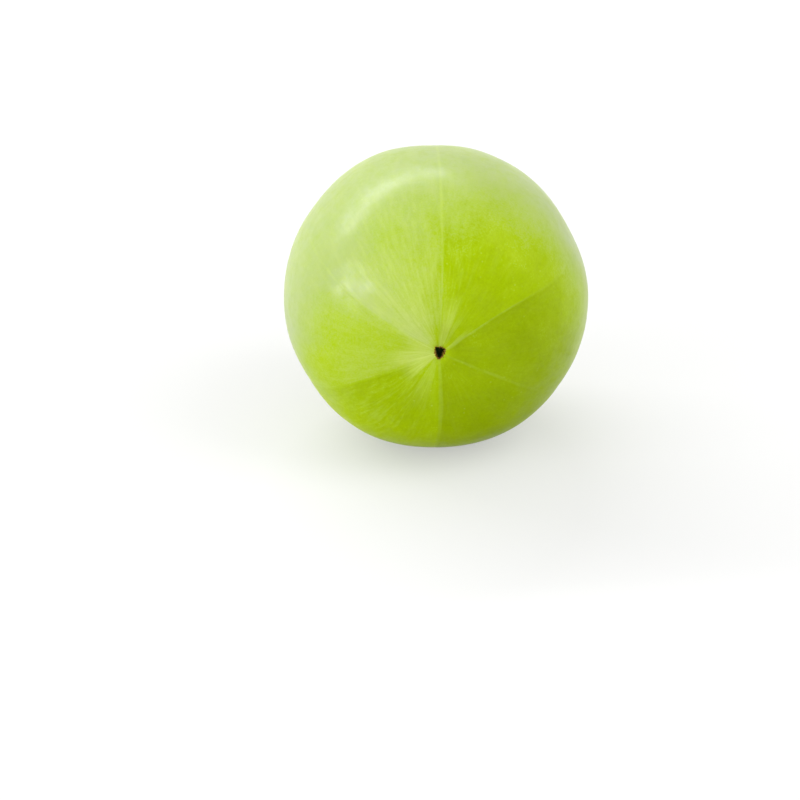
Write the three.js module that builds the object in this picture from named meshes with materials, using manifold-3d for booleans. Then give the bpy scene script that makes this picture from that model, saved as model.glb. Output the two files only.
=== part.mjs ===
// A whole Indian gooseberry (amla), lying on its side on a small flat spot.
//
// The fruit is a slightly flattened globe of six gently swollen lobes. They meet
// in six shallow furrows that run from the stem end to the blossom end. The stem
// end is broad and flat, with a funnel-shaped eye and the pit that the stalk
// leaves when it breaks off. The blossom end tapers to a low point with a small
// nub, the dried style.
//
// Frame: millimetres, +Z up, the fruit's axis along Y, stem end towards -Y.
// The origin is on the surface that the fruit lies on, below the middle of its
// width and length. Azimuths turn about the axis as seen from the stem end,
// with 0 degrees at +X and 90 degrees at +Z.

import * as THREE from "three";
import { mergeVertices } from "three/addons/utils/BufferGeometryUtils.js";
import Module from "manifold-3d";

// The body of the fruit.
const EQUATOR_RADIUS = 16.77; // at the widest plane, in the furrows
const STEM_HALF = 14.3; // widest plane to the shoulder at the stem end
const BLOSSOM_HALF = 16.9; // widest plane to the blossom end, without its point
const STEM_FULLNESS = 3.2; // exponent of the radius; 2 would be an ellipse
const BLOSSOM_FULLNESS = 2.2;

// The six furrows, and how far the lobe after each of them swells at its crown.
const FURROW_AZIMUTHS = [-152, -91, -31, 26, 89, 147]; // degrees
const LOBE_SWELLS = [0.22, 0.2, 0.29, 0.17, 0.3, 0.18];
const SWELL_START = 1.2; // radius at which the lobes begin, near each end
const SWELL_FULL = 6.0; // radius from which they have their full height

// The eye at the stem end: a wide funnel, and the pit of the stalk in it.
const EYE_DEPTH = 0.35;
const EYE_RADIUS = 3.0;
const PIT_RADIUS = 0.62;
const PIT_FLOOR_RADIUS = 0.43;
const PIT_DEPTH = 0.9;
const PIT_RIM_RADIUS = 0.85; // outside of the raised, corky rim
const PIT_RIM_HEIGHT = 0.08;

// The blossom end: a low cone, a shallow dimple in it, and the style's nub.
const POINT_HEIGHT = 0.6;
const POINT_RADIUS = 3.6;
const DIMPLE_DEPTH = 0.3;
const DIMPLE_RADIUS = 1.3;
const NUB_RADIUS = 0.42;
const NUB_TIP_RADIUS = 0.2;
const NUB_HEIGHT = 0.4;

// How the fruit lies: its axis above the surface. What would reach below the
// surface is the flat spot.
const AXIS_HEIGHT = 16.5;

// How finely the solid is faceted.
const STEPS_AROUND = 96;
const EYE_RINGS = [1.3, 2.0, 2.9, 3.9, 5.1]; // radii
const SHOULDER_RADIUS = 6.4; // from here outwards, equal steps of turn
const STEPS_TO_STEM = 12;
const STEPS_TO_BLOSSOM = 15;

// A smooth bump of height 1 at 0, and of about a third at the width.
const bell = (distance, width) => Math.exp(-((distance / width) ** 2));

// How far the eye sinks below the shoulder.
function eyeDrop(radius) {
  return EYE_DEPTH * bell(radius, EYE_RADIUS);
}

// How far the point at the blossom end stands out, less the dimple in its tip.
function pointRise(radius) {
  const cone = POINT_HEIGHT * bell(radius, POINT_RADIUS);
  return cone - DIMPLE_DEPTH * bell(radius, DIMPLE_RADIUS);
}

// The distance of the skin from the widest plane, towards the stem end.
function stemSide(radius) {
  const share = (radius / EQUATOR_RADIUS) ** STEM_FULLNESS;
  return STEM_HALF * Math.sqrt(1 - share) - eyeDrop(radius);
}

// The same towards the blossom end.
function blossomSide(radius) {
  const share = (radius / EQUATOR_RADIUS) ** BLOSSOM_FULLNESS;
  return BLOSSOM_HALF * Math.sqrt(1 - share) + pointRise(radius);
}

// Radii that are close together near the equator, where the skin is steep.
function spacedRadii(from, steps, fullness) {
  const start = Math.asin((from / EQUATOR_RADIUS) ** (fullness / 2));
  const radii = [];
  for (let i = 0; i < steps; i++) {
    const turn = start + ((Math.PI / 2 - start) * i) / steps;
    radii.push(EQUATOR_RADIUS * Math.sin(turn) ** (2 / fullness));
  }
  return radii;
}

// The outline of the fruit as [radius, distance towards the stem end], from
// the floor of the stalk's pit to the tip of the nub.
function outline() {
  const rim = stemSide(PIT_RADIUS) + PIT_RIM_HEIGHT;
  const points = [
    [0, rim - PIT_DEPTH],
    [PIT_FLOOR_RADIUS, rim - PIT_DEPTH],
    [PIT_RADIUS, rim],
    [PIT_RIM_RADIUS, stemSide(PIT_RIM_RADIUS)],
  ];
  const shoulder = spacedRadii(SHOULDER_RADIUS, STEPS_TO_STEM, STEM_FULLNESS);
  for (const radius of [...EYE_RINGS, ...shoulder]) {
    points.push([radius, stemSide(radius)]);
  }
  points.push([EQUATOR_RADIUS, 0]);
  const far = spacedRadii(NUB_RADIUS, STEPS_TO_BLOSSOM, BLOSSOM_FULLNESS);
  for (const radius of far.reverse()) {
    points.push([radius, -blossomSide(radius)]);
  }
  const tip = -blossomSide(NUB_RADIUS) - NUB_HEIGHT;
  points.push([NUB_TIP_RADIUS, tip]);
  points.push([0, tip]);
  return points;
}

// How far the skin stands out from the round outline: each lobe swells between
// its two furrows, and all of them fade out near the ends.
function lobeSwell(azimuth, radius) {
  let swell = 0;
  FURROW_AZIMUTHS.forEach((line, i) => {
    const next = FURROW_AZIMUTHS[(i + 1) % FURROW_AZIMUTHS.length];
    const width = THREE.MathUtils.euclideanModulo(next - line, 360);
    const past = THREE.MathUtils.euclideanModulo(azimuth - line, 360);
    if (past < width) {
      swell = LOBE_SWELLS[i] * Math.sin((Math.PI * past) / width);
    }
  });
  return swell * THREE.MathUtils.smoothstep(radius, SWELL_START, SWELL_FULL);
}

// The outline turned about the axis, with the lobes swollen out of it.
function fruitGeometry() {
  const turned = new THREE.LatheGeometry(
    outline().map(([radius, along]) => new THREE.Vector2(radius, -along)),
    STEPS_AROUND,
  );
  const position = turned.getAttribute("position");
  const place = new THREE.Vector3();
  for (let i = 0; i < position.count; i++) {
    place.fromBufferAttribute(position, i);
    const azimuth = THREE.MathUtils.radToDeg(Math.atan2(place.z, place.x));
    const radius = Math.hypot(place.x, place.z);
    place.setLength(place.length() + lobeSwell(azimuth, radius));
    position.setXYZ(i, place.x, place.y, place.z);
  }
  return turned;
}

const wasm = await Module();
wasm.setup();

// A closed three.js geometry as a manifold-3d solid.
function toSolid(geometry) {
  const bare = geometry.clone();
  bare.deleteAttribute("normal");
  bare.deleteAttribute("uv");
  const merged = mergeVertices(bare, 1e-3);
  const corners = [];
  for (let i = 0; i < merged.index.count; i += 3) {
    const [a, b, c] = [0, 1, 2].map((k) => merged.index.getX(i + k));
    // The faces at the poles have no width once their corners are merged.
    if (a !== b && b !== c && c !== a) corners.push(a, b, c);
  }
  return new wasm.Manifold(
    new wasm.Mesh({
      numProp: 3,
      vertProperties: new Float32Array(merged.attributes.position.array),
      triVerts: new Uint32Array(corners),
    }),
  );
}

// A manifold-3d solid as a three.js geometry.
function toGeometry(solid) {
  const mesh = solid.getMesh();
  const geometry = new THREE.BufferGeometry();
  geometry.setAttribute(
    "position",
    new THREE.BufferAttribute(mesh.vertProperties, 3),
  );
  geometry.setIndex(new THREE.BufferAttribute(mesh.triVerts, 1));
  geometry.computeVertexNormals();
  return geometry;
}

// The fruit in place, with the flat spot cut where it meets the surface.
function fruit() {
  const lying = fruitGeometry();
  lying.computeBoundingBox();
  const middle = lying.boundingBox.getCenter(new THREE.Vector3());
  lying.translate(-middle.x, -middle.y, AXIS_HEIGHT);
  const blockSize = 3 * EQUATOR_RADIUS;
  const below = new THREE.BoxGeometry(blockSize, blockSize, blockSize);
  below.translate(0, 0, -blockSize / 2);
  return toGeometry(toSolid(lying).subtract(toSolid(below)));
}

const skin = new THREE.MeshStandardMaterial({
  color: 0xb2cf2e,
  roughness: 0.42,
  metalness: 0,
});

const gooseberry = new THREE.Group();
const body = new THREE.Mesh(fruit(), skin);
body.name = "gooseberry";
gooseberry.add(body);

export default gooseberry;
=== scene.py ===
# %% [markdown]
# # A ripe Indian gooseberry
#
# An Indian gooseberry, or amla, is a round, slightly flattened fruit about as wide as a large
# walnut. Its skin is thin, waxy and half see-through, so light sinks into the pale flesh and comes
# out yellow-green. Six shallow furrows run from the stem end to the blossom end, and six gentle
# lobes swell between them. The stalk leaves a small dark scar where it broke off.
#
# This lesson builds the fruit in five steps: its measures, its skin as one fine mesh, the dry bits
# at its two ends, the finishes, and last the floor, the lamps and the camera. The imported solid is
# loaded first, because the fine skin has to lie in exactly the same place.

import math

import bpy
import numpy as np
from mathutils import Matrix, Vector


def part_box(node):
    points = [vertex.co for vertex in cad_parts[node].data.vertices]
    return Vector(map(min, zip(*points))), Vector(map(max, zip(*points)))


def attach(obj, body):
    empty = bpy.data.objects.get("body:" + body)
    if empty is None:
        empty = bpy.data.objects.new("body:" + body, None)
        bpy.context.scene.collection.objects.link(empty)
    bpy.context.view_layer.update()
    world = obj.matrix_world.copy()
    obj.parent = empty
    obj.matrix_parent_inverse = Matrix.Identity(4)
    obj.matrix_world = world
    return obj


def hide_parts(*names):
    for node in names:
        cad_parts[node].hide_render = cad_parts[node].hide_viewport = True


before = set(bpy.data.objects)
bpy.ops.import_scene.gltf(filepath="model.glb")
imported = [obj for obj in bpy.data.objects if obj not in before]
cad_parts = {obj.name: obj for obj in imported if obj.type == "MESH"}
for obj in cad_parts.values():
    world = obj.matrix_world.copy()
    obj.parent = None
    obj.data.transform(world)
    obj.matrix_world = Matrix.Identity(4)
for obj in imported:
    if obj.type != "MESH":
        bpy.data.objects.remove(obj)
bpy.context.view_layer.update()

# %% [markdown]
# ## The measures
#
# The fruit lies on its side. Its axis runs along Y, with the stem end towards -Y. All measures
# below are millimetres and degrees, because that is how one would measure a fruit with calipers;
# they become metres when the mesh is made. Azimuths turn about the axis as seen from the stem end,
# with 0 degrees at +X and 90 degrees at +Z.
#
# The outline is that of a real fruit cut in half: full and broad-shouldered at the stem end, almost
# an ellipse towards the blossom end. One exponent for each half describes that well. An ellipse has
# the exponent 2; a larger one pushes the shoulder outwards.

# %% Measures of the body
MM = 0.001
EQUATOR_RADIUS = 16.77
STEM_HALF = 14.3
BLOSSOM_HALF = 16.9
STEM_FULLNESS = 3.2
BLOSSOM_FULLNESS = 2.2
FURROWS = np.array([-152.0, -91.0, -31.0, 26.0, 89.0, 147.0])
LOBE_WIDTHS = (np.roll(FURROWS, -1) - FURROWS) % 360
LOBE_SWELLS = np.array([0.22, 0.20, 0.29, 0.17, 0.30, 0.18])
SWELL_START, SWELL_FULL = 1.2, 6.0
AXIS_HEIGHT = 16.5
print("lobe widths in degrees:", LOBE_WIDTHS)

# %% Measures of the two ends
# The eye is the wide funnel round the stalk's pit. The point is the low rise of the blossom end,
# with a dimple in its middle. The nub is all that is left of the style.
EYE_DEPTH, EYE_RADIUS = 0.35, 3.0
PIT_RADIUS, PIT_DEPTH = 0.62, 0.9
RIM_HEIGHT, RIM_WIDTH = 0.06, 0.13
POINT_HEIGHT, POINT_RADIUS = 0.6, 3.6
DIMPLE_DEPTH, DIMPLE_RADIUS = 0.3, 1.3
NUB_HEIGHT = 0.4


def bell(distance, width):
    """A smooth bump: 1 in the middle, about a third at the width."""
    return np.exp(-((distance / width) ** 2))


def ease(value, start, end):
    """0 before start, 1 after end, and a soft S between them."""
    share = np.clip((value - start) / (end - start), 0, 1)
    return share * share * (3 - 2 * share)


def stem_side(radius):
    """How far the skin lies from the widest plane, towards the stem end."""
    share = np.clip(1 - (radius / EQUATOR_RADIUS) ** STEM_FULLNESS, 0, 1)
    return STEM_HALF * np.sqrt(share) - EYE_DEPTH * bell(radius, EYE_RADIUS)


def blossom_side(radius):
    """The same towards the blossom end, with its low point and dimple."""
    share = np.clip(1 - (radius / EQUATOR_RADIUS) ** BLOSSOM_FULLNESS, 0, 1)
    point = POINT_HEIGHT * bell(radius, POINT_RADIUS) - DIMPLE_DEPTH * bell(radius, DIMPLE_RADIUS)
    return BLOSSOM_HALF * np.sqrt(share) + point


print("stem end to widest plane:", round(float(stem_side(0.0)), 2), "mm")
print("widest plane to blossom end:", round(float(blossom_side(0.0)), 2), "mm")

# %% [markdown]
# ## Rings and columns
#
# The skin could be a sphere with a subdivision surface, sculpted by hand. A grid of rings and
# columns around the axis suits this fruit better, because everything on it follows the axis: the
# lobes, the furrows and the fibres. The columns crowd together near each furrow, where the skin has
# a crease narrower than half a millimetre, and spread out over the smooth lobes.

# %% Columns around the axis
COLUMNS_PER_LOBE = 72
CROWDING = 0.8


def column_azimuths():
    """The azimuth of each column, crowded towards the furrows."""
    steps = np.arange(COLUMNS_PER_LOBE) / COLUMNS_PER_LOBE
    eased = steps - CROWDING * np.sin(2 * np.pi * steps) / (2 * np.pi)
    return np.concatenate([line + width * eased for line, width in zip(FURROWS, LOBE_WIDTHS)])


crowded = column_azimuths()
even = FURROWS[0] + np.arange(len(crowded)) * 360 / len(crowded)
print(len(crowded), "columns")

# %% Rings from the stem end to the blossom end
RING_STEP = 0.29
FIRST_RADIUS, LAST_GAP = 1.7, 0.3
OUTLINE_STEPS = 1500


def even_rings():
    """Rings of even spacing along the skin, from the eye to the blossom end."""
    turn = np.linspace(0, np.pi / 2, OUTLINE_STEPS)
    stem_radius = EQUATOR_RADIUS * np.sin(turn) ** (2 / STEM_FULLNESS)
    far_radius = EQUATOR_RADIUS * np.sin(turn[::-1]) ** (2 / BLOSSOM_FULLNESS)
    radius = np.concatenate([stem_radius, far_radius[1:]])
    along = np.concatenate([stem_side(stem_radius), -blossom_side(far_radius[1:])])
    walked = np.concatenate([[0], np.cumsum(np.hypot(np.diff(radius), np.diff(along)))])
    start = np.interp(FIRST_RADIUS, stem_radius, walked[: len(stem_radius)])
    end = walked[-1] - LAST_GAP
    stops = np.linspace(start, end, int((end - start) / RING_STEP))
    return np.interp(stops, walked, radius), np.interp(stops, walked, along)


pit_radii = np.array([0.24, 0.34, 0.42, 0.48, 0.52, 0.55, 0.575, 0.595, 0.61, PIT_RADIUS])
pit_depths = PIT_DEPTH * np.array([1.0, 0.97, 0.92, 0.82, 0.68, 0.5, 0.34, 0.2, 0.09, 0.02])
near_radii = np.array([0.64, 0.665, 0.70, 0.74, 0.79, 0.85, 0.92, 1.0, 1.1, 1.2, 1.32, 1.45, 1.58])
body_radii, body_alongs = even_rings()
rim_along = stem_side(PIT_RADIUS) + RIM_HEIGHT
ring_radii = np.concatenate([pit_radii, near_radii, body_radii])
ring_alongs = np.concatenate([rim_along - pit_depths, stem_side(near_radii), body_alongs])
PIT_RINGS = len(pit_radii)
NEAR_RINGS = PIT_RINGS + len(near_radii)
print(len(ring_radii), "rings")

# %% [markdown]
# ## The stalk's pit
#
# The stalk of an amla breaks off unevenly. Its pit isn't a drilled hole: it has one sharp corner
# where a strand of the stalk held on longest, and a long tail opposite. So the rings near the pit
# aren't circles. They follow a ragged outline at the pit and turn into circles about a millimetre
# further out.

# %% The ragged outline of the pit
PIT_NARROWEST, PIT_RAGGEDNESS = 0.53, 0.022
chance = np.random.default_rng(11)


def away_from(azimuth, line):
    """The angle between an azimuth and a line, in degrees, without a sign."""
    return np.abs((azimuth - line + 180) % 360 - 180)


def pit_outline(azimuth):
    """How far the pit's edge lies from the axis. Its fine tears differ a little from call to call."""
    ragged = sum(
        PIT_RAGGEDNESS * np.sin(np.radians(k * azimuth) + start)
        for k, start in zip((5, 7, 9, 12, 17, 23), chance.uniform(0, 2 * np.pi, 6))
    )
    corner = 0.27 * bell(away_from(azimuth, 124), 15)
    tail = 0.30 * bell(away_from(azimuth, 265), 22)
    brow = 0.09 * bell(away_from(azimuth, 88), 22)
    shoulder = 0.12 * bell(away_from(azimuth, 40), 30)
    return PIT_NARROWEST + corner + tail + brow + shoulder + ragged


# %% Azimuth, radius and height of every point of the skin
CROWDED_FROM, CROWDED_FULLY = 1.0, 4.0
ROUND_FROM = 1.6
FLOOR_WAVES, FLOOR_WAVE_HEIGHT = 7, 0.05

spread = ease(ring_radii, CROWDED_FROM, CROWDED_FULLY)[:, None]
azimuth = even + (crowded - even) * spread
radius = np.repeat(ring_radii[:, None], len(crowded), axis=1)
along = np.repeat(ring_alongs[:, None], len(crowded), axis=1)
pit_edge = pit_outline(azimuth[0])
radius[:PIT_RINGS] *= pit_edge / PIT_RADIUS
floor_wave = FLOOR_WAVE_HEIGHT * np.sin(np.radians(azimuth[0] * FLOOR_WAVES))
along[:PIT_RINGS] += floor_wave * (1 - ring_radii[:PIT_RINGS, None] / PIT_RADIUS)
circle_share = ease(ring_radii[PIT_RINGS:NEAR_RINGS], PIT_RADIUS, ROUND_FROM)[:, None]
radius[PIT_RINGS:NEAR_RINGS] += (pit_edge - PIT_RADIUS) * (1 - circle_share)
puff = RIM_HEIGHT * bell(radius[PIT_RINGS:NEAR_RINGS] - pit_edge, RIM_WIDTH)
along[PIT_RINGS:NEAR_RINGS] = stem_side(radius[PIT_RINGS:NEAR_RINGS]) + puff
print("the pit is", round(2 * float(pit_edge.mean()), 2), "mm across, on average")

# %% [markdown]
# ## Lobes, creases and lumps
#
# Each lobe swells by about a quarter of a millimetre, so its surface tilts by a few degrees where
# it meets the next lobe. That small kink is what makes a band of light break at a furrow. In the
# furrow itself lies a crease as fine as a pencil line. Last come very low, wide lumps. No fruit is
# a perfect turned shape, and without them the highlights would have edges as smooth as on a glass
# ball.

# %% Swell of the lobes and depth of the creases
CREASE_DEPTH, CREASE_WIDTH = 0.018, 0.22
KINK = 0.30
TOP_FURROW = 89
# The furrows at -31 and 147 degrees are hardly dents, and the lobe after the first is fullest past
# its middle. Each row: azimuth, rise in millimetres and half width in degrees.
RISES = [(-31, 0.20, 20), (9, 0.14, 12), (151, 0.09, 11)]


def lobe_swell(azimuth, radius):
    """How far each point stands out from the turned shape, in millimetres."""
    swell = np.zeros_like(radius)
    for line, width, height in zip(FURROWS, LOBE_WIDTHS, LOBE_SWELLS):
        past = (azimuth - line) % 360
        arch = np.sqrt(np.sin(np.pi * past / width) ** 2 + KINK**2) - KINK
        swell = np.where(past < width, height * arch / (math.sqrt(1 + KINK**2) - KINK), swell)
    for line, rise, half_width in RISES:
        swell += rise * bell(away_from(azimuth, line), half_width)
    return swell * ease(radius, SWELL_START, SWELL_FULL)


def crease_share(azimuth, along):
    """Creases fade towards the widest plane, the top one last, and come back near the blossom end."""
    fade = np.where(away_from(azimuth, TOP_FURROW) < 25, 0.0, 3.0)
    return 0.12 + 0.88 * ease(along, fade, fade + 7.0) + 0.5 * ease(along, -5.0, -12.0)


def furrow_distance(azimuth, radius):
    """Distance to the nearest furrow in millimetres, along the skin."""
    angle = np.min([away_from(azimuth, line) for line in FURROWS], axis=0)
    return np.radians(angle) * radius


furrow_mm = furrow_distance(azimuth, radius)
crease = CREASE_DEPTH * bell(furrow_mm, CREASE_WIDTH) * ease(radius, 1.0, 2.5)
crease *= crease_share(azimuth, along)
relief = lobe_swell(azimuth, radius) - crease
print("relief from", relief.min().round(3), "to", relief.max().round(3), "mm")

# %% Place the points round the axis
# Near the stalk the furrows stray a few degrees from straight meridians. Between 5 and 18 mm out
# they straighten.
NEAR_STALK_BENDS = np.array([-6.0, 3.0, 6.0, 10.0, -1.0, 1.0])
BENDS_FULL, BENDS_GONE = 5, 18

ring_steps = np.hypot(np.diff(ring_radii), np.diff(ring_alongs))
ring_walk = np.concatenate([[0], np.cumsum(ring_steps)])
bend_share = (1 - ease(ring_walk, BENDS_FULL, BENDS_GONE))[:, None]
bends = np.interp(azimuth[-1], FURROWS, NEAR_STALK_BENDS, period=360) * bend_share
turn = np.radians(azimuth + bends * ease(ring_radii, 0.8, 3.0)[:, None])
points = np.stack([radius * np.cos(turn), -along, radius * np.sin(turn)], axis=-1)
outwards = points / np.linalg.norm(points, axis=-1, keepdims=True)
smooth_skin = points + outwards * relief[..., None]
print("the smooth skin has", points.shape[0] * points.shape[1], "points")

# %% Lay low lumps over the smooth skin
# Wavelengths and heights in millimetres. The whole skin sinks a little, so that its lumps stay
# inside the solid.
LOW_WAVES, LOW_HEIGHT = (11, 9.5, 8.6, 7.4, 6.8, 6.1, 5.5, 5.0), 0.030
FINE_WAVES, FINE_HEIGHT = (3.6, 3.2, 2.9, 2.6, 2.3, 2.1, 1.9, 1.7), 0.006
SINK = 0.05


def lumps(places, wavelengths, height, seed):
    """Low waves in many directions, added up: smooth lumps with no pattern."""
    waves = np.random.default_rng(seed)
    total = np.zeros(places.shape[:-1])
    for wavelength in wavelengths:
        wave = waves.normal(size=3)
        wave *= 2 * np.pi / wavelength / np.linalg.norm(wave)
        total += np.sin(places @ wave + waves.uniform(0, 2 * np.pi))
    return height * total / math.sqrt(len(wavelengths))


low_lumps = lumps(points, LOW_WAVES, LOW_HEIGHT, seed=4)
fine_lumps = lumps(points, FINE_WAVES, FINE_HEIGHT, seed=9)
lumpy = (low_lumps + fine_lumps - SINK) * ease(radius, 0.9, 3.0)
points = smooth_skin + outwards * lumpy[..., None]
print("lumps up to", np.abs(low_lumps).max().round(3), "mm")

# %% [markdown]
# ## The flat spot
#
# A fruit that lies on a table is pressed flat where it touches. The skin isn't cut there: it
# flattens with a soft edge. The points that would sink below the surface are brought up to it, and
# those just above it are lifted a few hundredths of a millimetre, so that no sharp edge shows.

# %% Lay the skin on the surface, where the solid lies
low_corner, high_corner = (np.array(corner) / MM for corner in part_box("gooseberry"))
solid_middle = (low_corner[0] + high_corner[0]) / 2
sideways = solid_middle - (smooth_skin[..., 0].min() + smooth_skin[..., 0].max()) / 2
WIDEST_Y = low_corner[1] - smooth_skin[..., 1].min()
points += np.array([sideways, WIDEST_Y, AXIS_HEIGHT])
SOFT_EDGE = 0.03
PRESSED_BELOW = 12 * SOFT_EDGE
height = points[..., 2]
pressed = SOFT_EDGE * np.logaddexp(0, height / SOFT_EDGE)
points[..., 2] = np.where(height > PRESSED_BELOW, height, pressed)
print("widest plane at y =", WIDEST_Y.round(2), "mm")

# %% Make the skin's mesh
def closed_grid(name, rings, start_pole, end_pole):
    """A closed mesh of rings round an axis, with a fan at each end."""
    count, columns = rings.shape[:2]
    vertices = np.concatenate([rings.reshape(-1, 3), [start_pole, end_pole]]) * MM
    ring, column = np.meshgrid(np.arange(count - 1), np.arange(columns), indexing="ij")
    after = (column + 1) % columns
    here, there = ring * columns, (ring + 1) * columns
    quads = np.stack([here + column, there + column, there + after, here + after], axis=-1).reshape(-1, 4)
    first, last = count * columns, count * columns + 1
    around = np.arange(columns)
    following = (around + 1) % columns
    edge = (count - 1) * columns
    fan = np.stack([np.full(columns, first), around, following], axis=-1)
    far_fan = np.stack([np.full(columns, last), edge + following, edge + around], axis=-1)
    mesh = bpy.data.meshes.new(name)
    mesh.from_pydata(vertices.tolist(), [], quads.tolist() + fan.tolist() + far_fan.tolist())
    mesh.shade_smooth()
    made = bpy.data.objects.new(name, mesh)
    bpy.context.collection.objects.link(made)
    return made


pit_floor = points[0].mean(axis=0)
blossom_tip = points[-1].mean(axis=0)
skin = closed_grid("amla_skin", points, pit_floor, blossom_tip)
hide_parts("gooseberry")
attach(skin, "root")
print(len(skin.data.polygons), "faces in the skin")

# %% [markdown]
# ## What the skin's finish needs to know
#
# A material can't tell where the furrows are. So the mesh carries that knowledge as attributes, one
# number for each point: how far the nearest furrow is, how far the stalk's pit is, and how pale the
# flesh below is, with painted light and shade in that tone. A texture painted by hand would do the
# same; attributes keep it exact and need no picture file.
#
# Light and shade are painted into the tone of the flesh, lobe by lobe: the lobe at the upper left,
# where the lamps fall, is painted pale, the lobes at the lower right are painted in shade, and at each
# furrow the painted tone steps at once from the lit side to the shaded one. Near the stalk a few fans
# of pale fibres shine through as well, and one fan further out is a painted highlight.

# %% Painted light and shade of the flesh on both sides of each furrow
# Tone 0 is the plain flesh, 1 the palest and -1 the deepest. Each row: the furrow, the tone of the
# lobe after it, and the extra tone at that lobe's start and at its end.
# These tones are painted light and shade: the lobe after 89 degrees, at the upper left where the lamps
# fall, is painted pale, and the lobes from -91 to 26 degrees, at the lower right, are painted in shade.
LOBE_TONES = [
    (-152, -0.27, -0.34, 0.10),
    (-91, -0.60, -0.10, 0.00),
    (-31, -0.58, 0.05, -0.20),
    (26, -0.25, 0.06, 0.30),
    (89, 0.85, -0.65, 0.10),
    (147, 0.15, 0.25, 0.00),
]
EXTRA_TONE_FADES = 14
# Each row: the middle of a pale fan, its half width, where it starts and ends along the skin, and
# its strength.
FANS = [
    (76, 10, 0.4, 6.5, 0.38),
    (58, 5, 0.4, 5.0, 0.15),
    (-146, 14, -0.3, 4.5, 0.72),
    (-170, 12, -0.3, 5.5, 0.66),
    (33, 4, 0.4, 4.0, 0.25),
    (130, 22, 0.4, 7.0, 0.25),
    # This fan, 7 to 17 mm out, is a painted highlight where the left lamp's light falls, streaked like the
    # fibres.
    (137, 10, 7.0, 17.0, 0.18),
    (164, 15, 0.3, 4.0, 0.50),
    (-112, 9, 0.8, 6.5, 0.20),
]
# Where the bloom of wax begins, with a painted sheen in it that is fullest at the upper left and
# barely reaches the underside. Each row: an azimuth, and how far from the stalk the bloom starts and
# is full, in millimetres.
BLOOM_AND_SHEEN_EDGES = np.array(
    [
        (-178, 10, 20),
        (-150, 16, 32),
        (-120, 22, 60),
        (-60, 26, 70),
        (-25, 18, 46),
        (0, 14, 34),
        (30, 15, 24),
        (60, 13, 26),
        (80, 8, 26),
        (97, 7, 23),
        (118, 6, 21),
        (130, 4, 17),
        (145, 4, 16),
        (153, 5, 18),
        (165, 8, 20),
    ]
)
# Each row: a furrow, how clearly its line shows, and how far from the stalk it stays clear, in
# millimetres.
LINES = [(-152, 0.25, 7), (-91, 0.35, 9), (-31, 0.20, 12), (26, 0.55, 9), (89, 0.75, 22), (147, 0.35, 20)]


def lobe_tone(azimuth):
    """The painted light and shade of each lobe, which step at once at each furrow."""
    tone = np.zeros_like(azimuth)
    for (line, middle, after, before), width in zip(LOBE_TONES, LOBE_WIDTHS):
        past = (azimuth - line) % 360
        at_start = after * np.exp(-past / EXTRA_TONE_FADES)
        at_end = before * np.exp(-(width - past) / EXTRA_TONE_FADES)
        tone = np.where(past < width, middle + at_start + at_end, tone)
    return tone


def soft_lobe_tone(azimuth, radius):
    """Each step of painted light and shade is blurred over 0.4 mm."""
    shifts = np.degrees(np.array([-0.2, -0.1, 0.0, 0.1, 0.2])[:, None, None] / radius)
    return np.mean([lobe_tone(azimuth + shift) for shift in shifts], axis=0)


def fan_tone(azimuth, stem_mm):
    """Each fan, of pale fibres or of painted highlight, begins within a millimetre and ends slowly."""
    tone = np.zeros_like(azimuth)
    for line, half_width, start, end, strength in FANS:
        across = ease(away_from(azimuth, line), half_width * 1.3, half_width * 0.7)
        onwards = ease(stem_mm, start, start + 0.8) * (1 - ease(stem_mm, end * 0.5, end * 1.2))
        tone += strength * across * onwards
    return tone


def line_tone(azimuth, stem_mm):
    """Each furrow's line fades past its reach, and all the lines show again near the blossom end."""
    tone = np.zeros_like(azimuth)
    for line, strength, reach in LINES:
        mine = away_from(azimuth, line) < 20
        tone = np.where(mine, strength * (1 - 0.7 * ease(stem_mm, reach * 0.5, reach * 1.5)), tone)
    return tone + 0.30 * ease(stem_mm, 26, 36)


def bloom_and_sheen_tone(azimuth, stem_mm):
    """The bloom and its painted sheen are missing round the stalk and below, and thinner again towards the
    blossom end.
    """
    line, start, full = BLOOM_AND_SHEEN_EDGES.T
    begins = np.interp(azimuth, line, start, period=360)
    full_bloom_and_sheen = ease(stem_mm, begins, np.interp(azimuth, line, full, period=360))
    return full_bloom_and_sheen * (1 - 0.55 * ease(stem_mm, 22, 40))


def fibre_tone(azimuth, stem_mm):
    """Fibres show best through the pale lobe at the upper left and next best at the lower left."""
    upper_left = 0.70 * bell(away_from(azimuth, 115), 46)
    lower_left = 0.36 * bell(away_from(azimuth, -135), 38)
    around = 0.10 + upper_left + lower_left
    return around * (1 - 0.7 * ease(stem_mm, 16, 32))


print(len(LOBE_TONES), "lobes,", len(FANS), "fans and", len(LINES), "lines described")

# %% Distance from the stalk, and the tone of every point
# The blossom half is paler all round. On top of that lie a few broad clouds. Each row: a cloud's
# azimuth and half width, where it fades in and where it fades out along the skin, and its tone.
FAR_TONE, FAR_START, FAR_FULL = 0.60, 20, 38
# These distances lie before the pit's floor, so a cloud with them is there from the start.
FROM_THE_PIT = (-3.0, -2.0)
TONE_CLOUDS = [
    # The first two clouds are painted light and shade in the dip round the stalk: its lower side is
    # painted pale and its upper side deep.
    (-150, 40, FROM_THE_PIT, (2.0, 4.5), 0.35),
    (92, 26, FROM_THE_PIT, (2.0, 4.5), -0.35),
    (-168, 24, (2.5, 5.0), (9.0, 14.0), 0.22),
    (62, 20, (14.0, 19.0), (26.0, 34.0), 0.26),
    (106, 14, FROM_THE_PIT, (9.0, 14.0), -0.10),
]

steps_mm = np.linalg.norm(np.diff(points, axis=0), axis=-1)
stem_mm = np.concatenate([np.zeros((1, len(crowded))), np.cumsum(steps_mm, axis=0)])
stem_mm -= stem_mm[PIT_RINGS - 1] - PIT_RADIUS
edge_mm = radius - pit_edge
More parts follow.
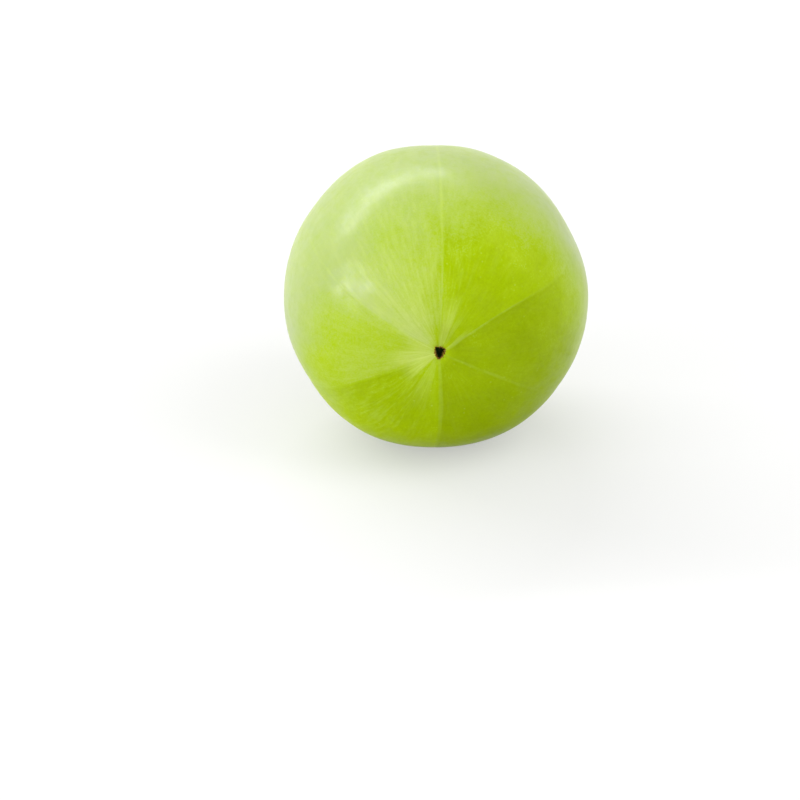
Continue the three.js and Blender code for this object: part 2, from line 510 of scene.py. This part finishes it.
# The lobes' painted light and shade have nearly gone by 18 mm from the stalk, but the painted shade
# at the lower right reaches up to 14 mm further.
lobes_end = 18 + 14 * bell(away_from(azimuth, -50), 45)
lobes_share = ease(stem_mm, 0.6, 2.0) * (1 - 0.85 * ease(stem_mm, lobes_end - 10, lobes_end))
tone = soft_lobe_tone(azimuth, radius) * lobes_share + FAR_TONE * ease(stem_mm, FAR_START, FAR_FULL)
for line, half_width, fade_in, fade_out, strength in TONE_CLOUDS:
    onwards = ease(stem_mm, *fade_in) * (1 - ease(stem_mm, *fade_out))
    tone += strength * bell(away_from(azimuth, line), half_width) * onwards
print("tones from", tone.min().round(2), "to", tone.max().round(2))

# %% Give the skin its attributes
# The last list of each call holds the values at the stalk's pole and at the blossom's. The fibres
# are laid out on a drum: its radius is 24 fibre widths, so that 150 fibres stand round it.
DRUM_RADIUS = 24


def add_attribute(piece, name, values, poles):
    """Store one number, or one place, for each point of the rings and for the two poles."""
    values = np.asarray(values)
    kind, field = ("FLOAT_VECTOR", "vector") if values.ndim == 3 else ("FLOAT", "value")
    flat = np.concatenate([values.reshape(-1, *values.shape[2:]), poles])
    piece.data.attributes.new(name, kind, "POINT").data.foreach_set(field, flat.ravel())


fibre_place = np.stack([DRUM_RADIUS * np.cos(turn), DRUM_RADIUS * np.sin(turn), stem_mm], axis=-1)
beyond = float(stem_mm[-1].mean())
add_attribute(skin, "furrow_mm", furrow_mm, [5.0, 0.0])
add_attribute(skin, "stem_mm", stem_mm, [0.0, beyond])
add_attribute(skin, "pit_edge_mm", np.where(stem_mm < 6, edge_mm, 6.0), [-1.0, 6.0])
# The tone holds painted light and shade as well as the flesh's own paleness.
add_attribute(skin, "tone", tone, [0.0, FAR_TONE])
add_attribute(skin, "fans", fan_tone(azimuth, stem_mm), [0.0, 0.0])
add_attribute(skin, "line", line_tone(azimuth, stem_mm), [0.0, 0.0])
add_attribute(skin, "fibre", fibre_tone(azimuth, stem_mm), [0.5, 0.2])
add_attribute(skin, "bloom_and_sheen", bloom_and_sheen_tone(azimuth, stem_mm), [0.0, 0.45])
add_attribute(skin, "fibre_place", fibre_place, [[0.0, 0.0, 0.0], [0.0, 0.0, beyond]])
print("attributes:", [item.name for item in skin.data.attributes if not item.name.startswith(".")])

# %% [markdown]
# ## The dry bits at the two ends
#
# Two small things on an amla aren't skin: the torn, corky crumbs of the stalk round its pit, and
# the shrivelled style at the blossom end. Both are dry and brown. They could be painted on, but
# they catch the light as little solids, so they are modelled: the crumbs as small crumpled lumps,
# and the style as a stub that has shrunk and twisted.

# %% Crumbs of the stalk round the pit
def crumpled_lump(centre, size, seed, columns=10, rows=6):
    """Rings of one small, irregular lump, from one pole to the other."""
    shape = np.random.default_rng(seed)
    tilt = np.linspace(0, np.pi, rows + 2)[1:-1, None]
    round_turn = np.linspace(0, 2 * np.pi, columns, endpoint=False)[None, :]
    across = np.sin(tilt)
    upright = np.cos(tilt) * np.ones_like(round_turn)
    ball = np.stack([across * np.cos(round_turn), upright, across * np.sin(round_turn)], axis=-1)
    bulge = 1 + lumps(ball, (2.4, 1.7, 1.3, 1.0), 0.22, seed)
    axes, _ = np.linalg.qr(shape.normal(size=(3, 3)))
    if np.linalg.det(axes) < 0:
        axes[:, 0] *= -1
    stretched = ball * bulge[..., None] * np.array(size)
    poles = np.array([[0, size[1], 0], [0, -size[1], 0]]) @ axes.T + centre
    return stretched @ axes.T + centre, poles


def join(name, pieces):
    """Join several objects into one, with one name."""
    bpy.ops.object.select_all(action="DESELECT")
    for piece in pieces:
        piece.select_set(True)
    bpy.context.view_layer.objects.active = pieces[0]
    bpy.ops.object.join()
    pieces[0].name = pieces[0].data.name = name
    return pieces[0]


CRUMB_COUNT = 17
stalk = np.random.default_rng(23)
eye_y = WIDEST_Y - float(stem_side(PIT_RADIUS))
crumbs = []
for k in range(CRUMB_COUNT):
    angle = 360 * (k + stalk.uniform(-0.3, 0.3)) / CRUMB_COUNT
    reach = float(pit_outline(np.array(angle))) + stalk.uniform(-0.05, 0.02)
    depth = stalk.uniform(-0.02, 0.12)
    middle = [
        sideways + reach * math.cos(math.radians(angle)),
        eye_y + depth - 0.03,
        AXIS_HEIGHT + reach * math.sin(math.radians(angle)),
    ]
    size = stalk.uniform([0.05, 0.04, 0.03], [0.12, 0.09, 0.06])
    rings, poles = crumpled_lump(np.array(middle), size, seed=100 + k)
    crumbs.append(closed_grid(f"crumb_{k}", rings, *poles))
stalk_crumbs = join("stalk_crumbs", crumbs)
print(len(stalk_crumbs.data.polygons), "faces in the crumbs")

# %% The dried style
# Shares of its height from where it leaves the skin, and its half width there in millimetres. It
# twists on its way up, has three sets of folds, and leans a little to one side.
STYLE_COLUMNS = 28
style_share = np.array([-0.7, -0.35, 0.0, 0.2, 0.4, 0.58, 0.74, 0.87, 0.96, 1.0])
style_width = np.array([0.30, 0.42, 0.44, 0.36, 0.30, 0.27, 0.25, 0.21, 0.14, 0.06])
style_turn = np.linspace(0, 2 * np.pi, STYLE_COLUMNS, endpoint=False)
twist = style_turn[None, :] + 0.9 * style_share[:, None]
folds = 1 + 0.10 * np.sin(5 * twist) + 0.06 * np.sin(9 * twist + 1.1) + 0.05 * np.sin(2 * style_turn + 0.4)
style_radius = style_width[:, None] * folds
lean = np.stack([0.10 * style_share**2, style_share * 0, 0.06 * style_share**2], axis=-1)
style_y = high_corner[1] - NUB_HEIGHT * 0.97 + NUB_HEIGHT * 0.95 * style_share
style_rings = np.stack(
    [
        sideways + style_radius * np.cos(style_turn),
        np.repeat(style_y[:, None], STYLE_COLUMNS, axis=1),
        AXIS_HEIGHT + style_radius * np.sin(style_turn),
    ],
    axis=-1,
)
style_rings += np.where(style_share > 0, 1, 0)[:, None, None] * lean[:, None, :]
style_poles = style_rings[0].mean(axis=0), style_rings[-1].mean(axis=0)
dried_style = closed_grid("dried_style", style_rings, *style_poles)
for piece in (stalk_crumbs, dried_style):
    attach(piece, "root")
print("the style ends at y =", style_y[-1].round(2), "mm, the solid at", high_corner[1].round(2), "mm")

# %% [markdown]
# ## Colours and nodes
#
# Colours are written as the hex codes that a paint chart gives. Blender works with linear light, so
# one function turns a hex code into linear values. One more function adds a node, sets its values
# and joins its inputs.
#
# A node's inputs are given by name or, where several share a name, by number. In a Map Range node 0
# is the value, 1 and 2 are the range that is read, and 3 and 4 the range that comes out. In a Mix
# node 0 is the share, 2 and 3 are two numbers, and 6 and 7 two colours.

# %% Helpers for finishes
def linear(code):
    """An sRGB hex colour as linear red, green, blue and alpha."""
    parts = [int(code[i : i + 2], 16) / 255 for i in (1, 3, 5)]
    return [p / 12.92 if p <= 0.04045 else ((p + 0.055) / 1.055) ** 2.4 for p in parts] + [1.0]


def add(tree, kind, inputs=None, **settings):
    """Add a node, set its settings, and set or join its inputs."""
    node = tree.nodes.new(kind)
    for name, value in settings.items():
        setattr(node, name, value)
    for name, value in (inputs or {}).items():
        if isinstance(value, bpy.types.NodeSocket):
            tree.links.new(value, node.inputs[name])
        else:
            node.inputs[name].default_value = value
    return node


def new_finish(name):
    """An empty material with its node tree."""
    finish = bpy.data.materials.new(name)
    finish.use_nodes = True
    finish.node_tree.nodes.clear()
    return finish, finish.node_tree


print("middle grey in linear light:", round(linear("#808080")[0], 3))

# %% [markdown]
# ## The skin: thin wax over wet, half-clear flesh
#
# Amla skin is a clear film of wax over watery flesh. Three things make its look. Light sinks a few
# millimetres into the flesh and comes back yellow-green, which subsurface scattering does. The wax
# gives a broad, soft shine. And pale fibres, dots and furrows show through from just below. Light and
# shade are also painted into the skin's colour: the lobe at the upper left, where the lamps fall, is
# painted pale with a whitish sheen, and the lobes at the lower right are painted in shade.
#
# Flesh and wax both have an index of refraction near 1.4. The shine is satin, not wet, so the
# roughness is about 0.3.

# %% The skin's colour
finish, tree = new_finish("waxy_amla_skin")
FLESH = linear("#ABC700")
# The deep flesh colour also serves as painted shade, and the pale one as painted light.
DEEP_FLESH_AND_SHADE = linear("#8CA300")
PALE_FLESH_AND_LIGHT = linear("#C0D46C")
# This colour is wax bloom with a painted sheen in it: the whitish veil that the lamps leave on the upper
# left.
BLOOM_AND_SHEEN = linear("#AEC07A")
FIBRE = linear("#D8E684")
FURROW_LINE = linear("#C4D868")

attribute_names = ("furrow_mm", "stem_mm", "pit_edge_mm", "tone", "fans", "line", "fibre", "bloom_and_sheen")
furrow, stem, pit, tone_with_painted_light, fan, line_share, fibre, bloom_and_sheen = [
    add(tree, "ShaderNodeAttribute", attribute_name=name).outputs["Fac"] for name in attribute_names
]
along_fibres = add(tree, "ShaderNodeAttribute", attribute_name="fibre_place").outputs["Vector"]
place = add(tree, "ShaderNodeTexCoord").outputs["Object"]
print("the finish reads nine attributes and the place of each point")

# %% Clouds, grains and strands
# Clouds of paler and deeper flesh are 4 mm wide. There are two grains, of half a millimetre and a
# fifth of one.
cloud_wave = {"Vector": place, "Scale": 1 / (4 * MM), "Detail": 3.0, "Roughness": 0.6}
clouds = add(tree, "ShaderNodeTexNoise", cloud_wave).outputs["Fac"]
grain_wave = {"Vector": place, "Scale": 1 / (0.5 * MM), "Detail": 2.0}
grain = add(tree, "ShaderNodeTexNoise", grain_wave).outputs["Fac"]
dust_wave = {"Vector": place, "Scale": 1 / (0.2 * MM), "Detail": 1.0}
dust = add(tree, "ShaderNodeTexNoise", dust_wave).outputs["Fac"]
cloudy = add(tree, "ShaderNodeMapRange", {0: clouds, 1: 0.3, 2: 0.7, 3: -0.14, 4: 0.14}).outputs[0]
grainy = add(tree, "ShaderNodeMapRange", {0: grain, 1: 0.3, 2: 0.7, 3: -0.06, 4: 0.06}).outputs[0]
dusty = add(tree, "ShaderNodeMapRange", {0: dust, 1: 0.3, 2: 0.7, 3: -0.12, 4: 0.12}).outputs[0]
uneven = add(tree, "ShaderNodeMath", {0: cloudy, 1: grainy}, operation="ADD").outputs[0]
uneven = add(tree, "ShaderNodeMath", {0: uneven, 1: dusty}, operation="ADD").outputs[0]
# Fibres run from the stalk like meridians. In fibre_place, one unit is a fibre's width across and
# one millimetre along.
lengthwise = {0: along_fibres, 1: (1.0, 1.0, 0.4)}
stretch = add(tree, "ShaderNodeVectorMath", lengthwise, operation="MULTIPLY").outputs[0]
strand_wave = {"Vector": stretch, "Scale": 0.9, "Detail": 3.0, "Roughness": 0.65, "Distortion": 0.4}
strands = add(tree, "ShaderNodeTexNoise", strand_wave).outputs["Fac"]
streaks = add(tree, "ShaderNodeMapRange", {0: strands, 1: 0.3, 2: 0.7, 3: -0.20, 4: 0.20}).outputs[0]
streaky = {0: streaks, 1: fibre, 2: uneven}
uneven_tone = add(tree, "ShaderNodeMath", streaky, operation="MULTIPLY_ADD").outputs[0]
print("clouds, two grains and streaks made")

# %% The flesh, from deep to pale with painted light and shade, and the bloom and painted sheen on top
# The tone holds painted light and shade besides the flesh's own clouds: below 0 it turns to the deep
# flesh, above 0 to the pale.
tone_sum = add(tree, "ShaderNodeMath", {0: tone_with_painted_light, 1: uneven_tone}, operation="ADD").outputs[0]
deepness_and_shade = add(tree, "ShaderNodeMapRange", {0: tone_sum, 1: 0.0, 2: -1.0}).outputs[0]
paleness_and_light = add(tree, "ShaderNodeMapRange", {0: tone_sum, 1: 0.0, 2: 1.0}).outputs[0]
flesh = add(tree, "ShaderNodeMix", {0: deepness_and_shade, 6: FLESH, 7: DEEP_FLESH_AND_SHADE}, data_type="RGBA").outputs[2]
flesh = add(tree, "ShaderNodeMix", {0: paleness_and_light, 6: flesh, 7: PALE_FLESH_AND_LIGHT}, data_type="RGBA").outputs[2]
# The bloom and its painted sheen have a ragged edge: the same clouds and grain push its edge in and out.
pushed = {0: uneven, 1: 0.75, 2: bloom_and_sheen}
ragged_bloom_and_sheen = add(tree, "ShaderNodeMath", pushed, operation="MULTIPLY_ADD").outputs[0]
bloom_and_sheen_share = add(tree, "ShaderNodeMapRange", {0: ragged_bloom_and_sheen, 1: 0.1, 2: 1.0, 4: 0.80}).outputs[0]
flesh = add(tree, "ShaderNodeMix", {0: bloom_and_sheen_share, 6: flesh, 7: BLOOM_AND_SHEEN}, data_type="RGBA").outputs[2]
print("flesh colours mixed by tone, clouds and bloom")

# %% Pale fibres and fans
strand = add(tree, "ShaderNodeMapRange", {0: strands, 1: 0.46, 2: 0.72, 3: 0.0, 4: 1.0}).outputs[0]
# Fibres show more than twice as well near the stalk as 22 mm away from it.
near_stalk = add(
    tree,
    "ShaderNodeMapRange",
    {0: stem, 1: 6.0, 2: 22.0, 3: 0.27, 4: 0.12},
    interpolation_type="SMOOTHSTEP",
).outputs[0]
near_stalk = add(tree, "ShaderNodeMath", {0: near_stalk, 1: fibre}, operation="MULTIPLY").outputs[0]
fan_share = add(tree, "ShaderNodeMapRange", {0: strands, 1: 0.35, 2: 0.65, 3: 0.55, 4: 0.85}).outputs[0]
fan_pale = add(tree, "ShaderNodeMath", {0: fan_share, 1: fan}, operation="MULTIPLY").outputs[0]
strand_pale = add(tree, "ShaderNodeMath", {0: strand, 1: near_stalk}, operation="MULTIPLY").outputs[0]
both_pale = {0: strand_pale, 1: fan_pale}
fibre_and_highlight_pale = add(tree, "ShaderNodeMath", both_pale, operation="ADD", use_clamp=True).outputs[0]
# Fibres, fans and the one painted highlight pale the flesh here.
flesh = add(tree, "ShaderNodeMix", {0: fibre_and_highlight_pale, 6: flesh, 7: FIBRE}, data_type="RGBA").outputs[2]
print("fibres and fans laid over the flesh")

# %% Furrow lines and dots
# The furrow line is 0.3 mm wide and breaks up a little on its way.
break_wave = {"Vector": place, "Scale": 1 / (1.6 * MM), "Detail": 2.0}
breaks = add(tree, "ShaderNodeTexNoise", break_wave).outputs["Fac"]
line_strength = add(tree, "ShaderNodeMapRange", {0: breaks, 1: 0.35, 2: 0.65, 3: 0.3, 4: 0.7}).outputs[0]
shown = {0: line_strength, 1: line_share}
line_strength = add(tree, "ShaderNodeMath", shown, operation="MULTIPLY").outputs[0]
line_shape = add(
    tree,
    "ShaderNodeMapRange",
    {0: furrow, 1: 0.03, 2: 0.24, 3: 1.0, 4: 0.0},
    interpolation_type="SMOOTHSTEP",
).outputs[0]
pale_line = add(tree, "ShaderNodeMath", {0: line_shape, 1: line_strength}, operation="MULTIPLY").outputs[0]
flesh = add(tree, "ShaderNodeMix", {0: pale_line, 6: flesh, 7: FURROW_LINE}, data_type="RGBA").outputs[2]
# Breathing pores: pale dots about 0.2 mm wide and 0.9 mm apart, each a little different.
pores = add(tree, "ShaderNodeTexVoronoi", {"Vector": place, "Scale": 1 / (0.9 * MM), "Randomness": 1.0})
from_middle = pores.outputs["Distance"]
dot = add(tree, "ShaderNodeMapRange", {0: from_middle, 1: 0.05, 2: 0.16, 3: 0.20, 4: 0.0}).outputs[0]
chosen = add(tree, "ShaderNodeSeparateColor", {0: pores.outputs["Color"]}).outputs[0]
chosen = add(tree, "ShaderNodeMapRange", {0: chosen, 1: 0.3, 2: 0.9}).outputs[0]
dots = add(tree, "ShaderNodeMath", {0: dot, 1: chosen}, operation="MULTIPLY").outputs[0]
flesh = add(tree, "ShaderNodeMix", {0: dots, 6: flesh, 7: FIBRE}, data_type="RGBA").outputs[2]
print("furrow lines and dots laid over the flesh")

# %% The pit's dark core and brown rim
CORE = linear("#07240F")
BARK = linear("#8A5A1E")
# The edge of the torn stalk wanders by up to 0.07 mm, and the brown rim is about a tenth of a
# millimetre wide.
tear_wave = {"Vector": place, "Scale": 1 / (0.16 * MM), "Detail": 3.0}
tears = add(tree, "ShaderNodeTexNoise", tear_wave).outputs["Fac"]
ragged_mm = add(tree, "ShaderNodeMapRange", {0: tears, 1: 0.3, 2: 0.7, 3: -0.07, 4: 0.07}).outputs[0]
rim_mm = add(tree, "ShaderNodeMath", {0: pit, 1: ragged_mm}, operation="ADD").outputs[0]
bark_share = add(tree, "ShaderNodeMapRange", {0: rim_mm, 1: 0.02, 2: 0.11, 3: 1.0, 4: 0.0}).outputs[0]
core_share = add(tree, "ShaderNodeMapRange", {0: rim_mm, 1: -0.07, 2: -0.01, 3: 1.0, 4: 0.0}).outputs[0]
with_bark = add(tree, "ShaderNodeMix", {0: bark_share, 6: flesh, 7: BARK}, data_type="RGBA").outputs[2]
colour = add(tree, "ShaderNodeMix", {0: core_share, 6: with_bark, 7: CORE}, data_type="RGBA").outputs[2]
print("the pit is coloured")

# %% The skin's surface and the hue of its shine
surface = add(tree, "ShaderNodeMath", {0: grain, 1: strands}, operation="ADD").outputs[0]
bump = add(tree, "ShaderNodeBump", {"Strength": 0.25, "Distance": 0.03 * MM, "Height": surface})
rough = add(tree, "ShaderNodeMapRange", {0: clouds, 1: 0.3, 2: 0.7, 3: 0.28, 4: 0.33}).outputs[0]
dry = add(tree, "ShaderNodeMix", {0: bark_share, 2: rough, 3: 0.85}, data_type="FLOAT").outputs[0]
# On bare skin part of the shine comes back from the wet flesh just below, so it is green. Bloom is
# made of tiny grains of wax, which throw back a cool white; the shine is cool white too over the
# painted sheen and over the lobe painted palest.
palest_painted_light = add(tree, "ShaderNodeMapRange", {0: tone_with_painted_light, 1: 0.6, 2: 0.85}).outputs[0]
white_share = {0: bloom_and_sheen, 1: palest_painted_light}
clear_shine = add(tree, "ShaderNodeMath", white_share, operation="ADD", use_clamp=True).outputs[0]
shine_hues = {0: clear_shine, 6: linear("#F4FF60"), 7: linear("#D8D0FF")}
shine = add(tree, "ShaderNodeMix", shine_hues, data_type="RGBA").outputs[2]
print("the shine is green on bare skin and cool white on bloom")

# %% The wax, and the skin's shader
# The wax lies on in patches a millimetre wide, so a highlight has a ragged edge and dull spots.
patch_wave = {"Vector": place, "Scale": 1 / (1.2 * MM), "Detail": 5.0, "Roughness": 0.65}
patches = add(tree, "ShaderNodeTexNoise", patch_wave).outputs["Fac"]
patchy = add(tree, "ShaderNodeMapRange", {0: patches, 1: 0.36, 2: 0.62, 3: 0.20, 4: 0.76}).outputs[0]
# The underside, up to the height of the axis, hung in the shade and carries less wax.
above_table = add(tree, "ShaderNodeSeparateXYZ", {"Vector": place}).outputs["Z"]
wax_heights = {0: above_table, 1: 7 * MM, 2: 16 * MM, 3: 0.06, 4: 1.0}
sunny = add(tree, "ShaderNodeMapRange", wax_heights).outputs[0]
wax = add(tree, "ShaderNodeMath", {0: patchy, 1: sunny}, operation="MULTIPLY").outputs[0]
body = add(
    tree,
    "ShaderNodeBsdfPrincipled",
    {
        "Base Color": colour,
        "Specular IOR Level": wax,
        "Specular Tint": shine,
        "Roughness": dry,
        "Normal": bump.outputs[0],
        "IOR": 1.38,
        "Subsurface Weight": 1.0,
        "Subsurface Radius": (1.0, 0.9, 0.25),
        "Subsurface Scale": 2.5 * MM,
    },
)
add(tree, "ShaderNodeOutputMaterial", {"Surface": body.outputs[0]})
skin.data.materials.append(finish)
print("the skin's finish has", len(tree.nodes), "nodes")

# %% [markdown]
# ## Dry stalk
#
# Broken stalk and dried style are dead plant fibre: dull, brown, paler where freshly torn. They let
# no light in and have no shine, so their roughness is high.

# %% The finish of dry stalk
dry_finish, tree = new_finish("dry_stalk_fibre")
place = add(tree, "ShaderNodeTexCoord").outputs["Object"]
torn_wave = {"Vector": place, "Scale": 1 / (0.12 * MM), "Detail": 4.0}
torn = add(tree, "ShaderNodeTexNoise", torn_wave).outputs["Fac"]
freshness = add(tree, "ShaderNodeMapRange", {0: torn, 1: 0.35, 2: 0.65}).outputs[0]
browns = {0: freshness, 6: linear("#5A3A16"), 7: linear("#A8702A")}
brown = add(tree, "ShaderNodeMix", browns, data_type="RGBA").outputs[2]
fibres = add(tree, "ShaderNodeBump", {"Strength": 0.6, "Distance": 0.02 * MM, "Height": torn}).outputs[0]
body = add(tree, "ShaderNodeBsdfPrincipled", {"Base Color": brown, "Roughness": 0.85, "Normal": fibres})
add(tree, "ShaderNodeOutputMaterial", {"Surface": body.outputs[0]})
for piece in (stalk_crumbs, dried_style):
    piece.data.materials.append(dry_finish)
print("dry stalk on", stalk_crumbs.name, "and", dried_style.name)

# %% [markdown]
# ## The floor, the room and the lamps
#
# The fruit lies on a plain white floor in a white room, under three soft lamps. A long strip hangs
# high behind it and draws the bright arc on its top. A smaller lamp stands low at the left in
# front, and a large weak one at the right fills the shade.
#
# The floor looks white to the camera and in reflections, but throws less light up from below, as a
# matt table does, so the underside of the fruit keeps its deep colour. Far from the fruit the floor
# is fully white, so that it runs into the room without a line. The room is brightest in front of
# the fruit.

# %% The floor
def seen_directly(tree):
    """1 for rays from the camera, off a shiny surface or through a clear one, and 0 for the others."""
    path = add(tree, "ShaderNodeLightPath").outputs
    direct = {0: path["Is Camera Ray"], 1: path["Is Glossy Ray"]}
    seen = add(tree, "ShaderNodeMath", direct, operation="MAXIMUM").outputs[0]
    through = {0: seen, 1: path["Is Transmission Ray"]}
    return add(tree, "ShaderNodeMath", through, operation="MAXIMUM").outputs[0]


bpy.ops.mesh.primitive_plane_add(size=6.0)
floor = bpy.context.object
floor.name = "floor"
floor_finish, tree = new_finish("matt_white_table")
seen = seen_directly(tree)
matt = add(tree, "ShaderNodeBsdfDiffuse", {"Color": linear("#B4B4B0")}).outputs[0]
white = add(tree, "ShaderNodeBsdfDiffuse", {"Color": (0.5, 0.5, 0.5, 1.0)}).outputs[0]
floor_place = add(tree, "ShaderNodeTexCoord").outputs["Object"]
far = add(tree, "ShaderNodeVectorMath", {0: floor_place}, operation="LENGTH").outputs["Value"]
# About half of the floor's white is its own glow. From 15 to 90 cm away the glow grows until no
# shade shows.
evenly = add(tree, "ShaderNodeMapRange", {0: far, 1: 0.15, 2: 0.9, 3: 0.42, 4: 0.70}).outputs[0]
glow = add(tree, "ShaderNodeEmission", {"Strength": evenly}).outputs[0]
bright = add(tree, "ShaderNodeAddShader", {0: white, 1: glow}).outputs[0]
table = add(tree, "ShaderNodeMixShader", {0: seen, 1: matt, 2: bright}).outputs[0]
add(tree, "ShaderNodeOutputMaterial", {"Surface": table})
floor.data.materials.append(floor_finish)
print("floor made")

# %% The white room
room = bpy.data.worlds.new("white_room")
bpy.context.scene.world = room
room.use_nodes = True
tree = room.node_tree
tree.nodes.clear()
seen = seen_directly(tree)
way = add(tree, "ShaderNodeTexCoord").outputs["Generated"]
# This dot product is largest in front of the fruit and below it.
forwards = {0: way, 1: (0.0, -0.85, -0.53)}
frontness = add(tree, "ShaderNodeVectorMath", forwards, operation="DOT_PRODUCT").outputs["Value"]
daylight = add(tree, "ShaderNodeMapRange", {0: frontness, 1: -1.0, 2: 1.0, 3: 0.35, 4: 1.35}).outputs[0]
strength = add(tree, "ShaderNodeMix", {0: seen, 2: daylight, 3: 1.0}, data_type="FLOAT").outputs[0]
air = add(tree, "ShaderNodeBackground", {"Color": (1.0, 1.0, 1.0, 1.0), "Strength": strength}).outputs[0]
add(tree, "ShaderNodeOutputWorld", {"Surface": air})
print("room made")

# %% The lamps
centre = np.array([0.0, WIDEST_Y, AXIS_HEIGHT]) * MM


def direction(azimuth_degrees, elevation_degrees):
    """A unit vector. Azimuth 0 is in front of the stem end, and turns to the right."""
    a, e = math.radians(azimuth_degrees), math.radians(elevation_degrees)
    return Vector((math.sin(a) * math.cos(e), -math.cos(a) * math.cos(e), math.sin(e)))


def soft_lamp(name, first_end, other_end, distance, width, brightness):
    """A long lamp that faces the fruit, from one direction to another, with its sizes in metres."""
    lamp = bpy.data.objects.new(name, bpy.data.lights.new(name, "AREA"))
    bpy.context.collection.objects.link(lamp)
    first, other = direction(*first_end), direction(*other_end)
    out = (first + other).normalized()
    length = 2 * distance * math.tan(first.angle(other) / 2)
    lamp.data.shape = "RECTANGLE"
    lamp.data.size, lamp.data.size_y = length, width
    # A flat lamp sends out pi watts for each square metre and each unit of brightness.
    lamp.data.energy = brightness * math.pi * length * width
    lengthways = (other - first).normalized()
    turned = Matrix((lengthways, out.cross(lengthways), out)).transposed()
    lamp.matrix_world = Matrix.Translation(Vector(centre) + out * distance) @ turned.to_4x4()
    print(name, "is", round(1000 * length), "by", round(1000 * width), "mm")


# Each lamp: its two ends as azimuth and elevation, its distance and width, and its brightness.
soft_lamp("high_strip_softbox", (-108, 26), (172, 48), 0.45, 0.045, 15.2)
soft_lamp("left_softbox", (-42, 3), (-76, 15), 0.50, 0.09, 11.6)
soft_lamp("right_fill_softbox", (50, 40), (90, 40), 0.60, 0.50, 2.2)
bpy.context.scene.view_settings.view_transform = "Standard"

# %% [markdown]
# ## The camera
#
# The camera stands about 25 cm away with a long lens, so the near side of so small a fruit isn't
# blown up. It looks down on the stem end at 25 degrees.

# %% The camera
CAMERA_DISTANCE = 249 * MM
LINE_OF_SIGHT = (-2.4, 25.0)
AIM_LEFT, AIM_DOWN = 3.91 * MM, 11.62 * MM

towards_camera = np.array(direction(*LINE_OF_SIGHT))
rightwards = np.cross([0, 0, 1], towards_camera)
rightwards /= np.linalg.norm(rightwards)
upwards = np.cross(towards_camera, rightwards)
camera = bpy.data.objects.new("camera", bpy.data.cameras.new("camera"))
bpy.context.collection.objects.link(camera)
camera.data.lens = 100.0
camera.data.sensor_width = 36.0
camera.data.clip_start = 0.01
camera.location = centre + towards_camera * CAMERA_DISTANCE
aim = centre - rightwards * AIM_LEFT - upwards * AIM_DOWN
camera.rotation_euler = (Vector(aim) - camera.location).to_track_quat("-Z", "Y").to_euler()
bpy.context.scene.camera = camera
print("camera at", [round(value, 3) for value in camera.location])
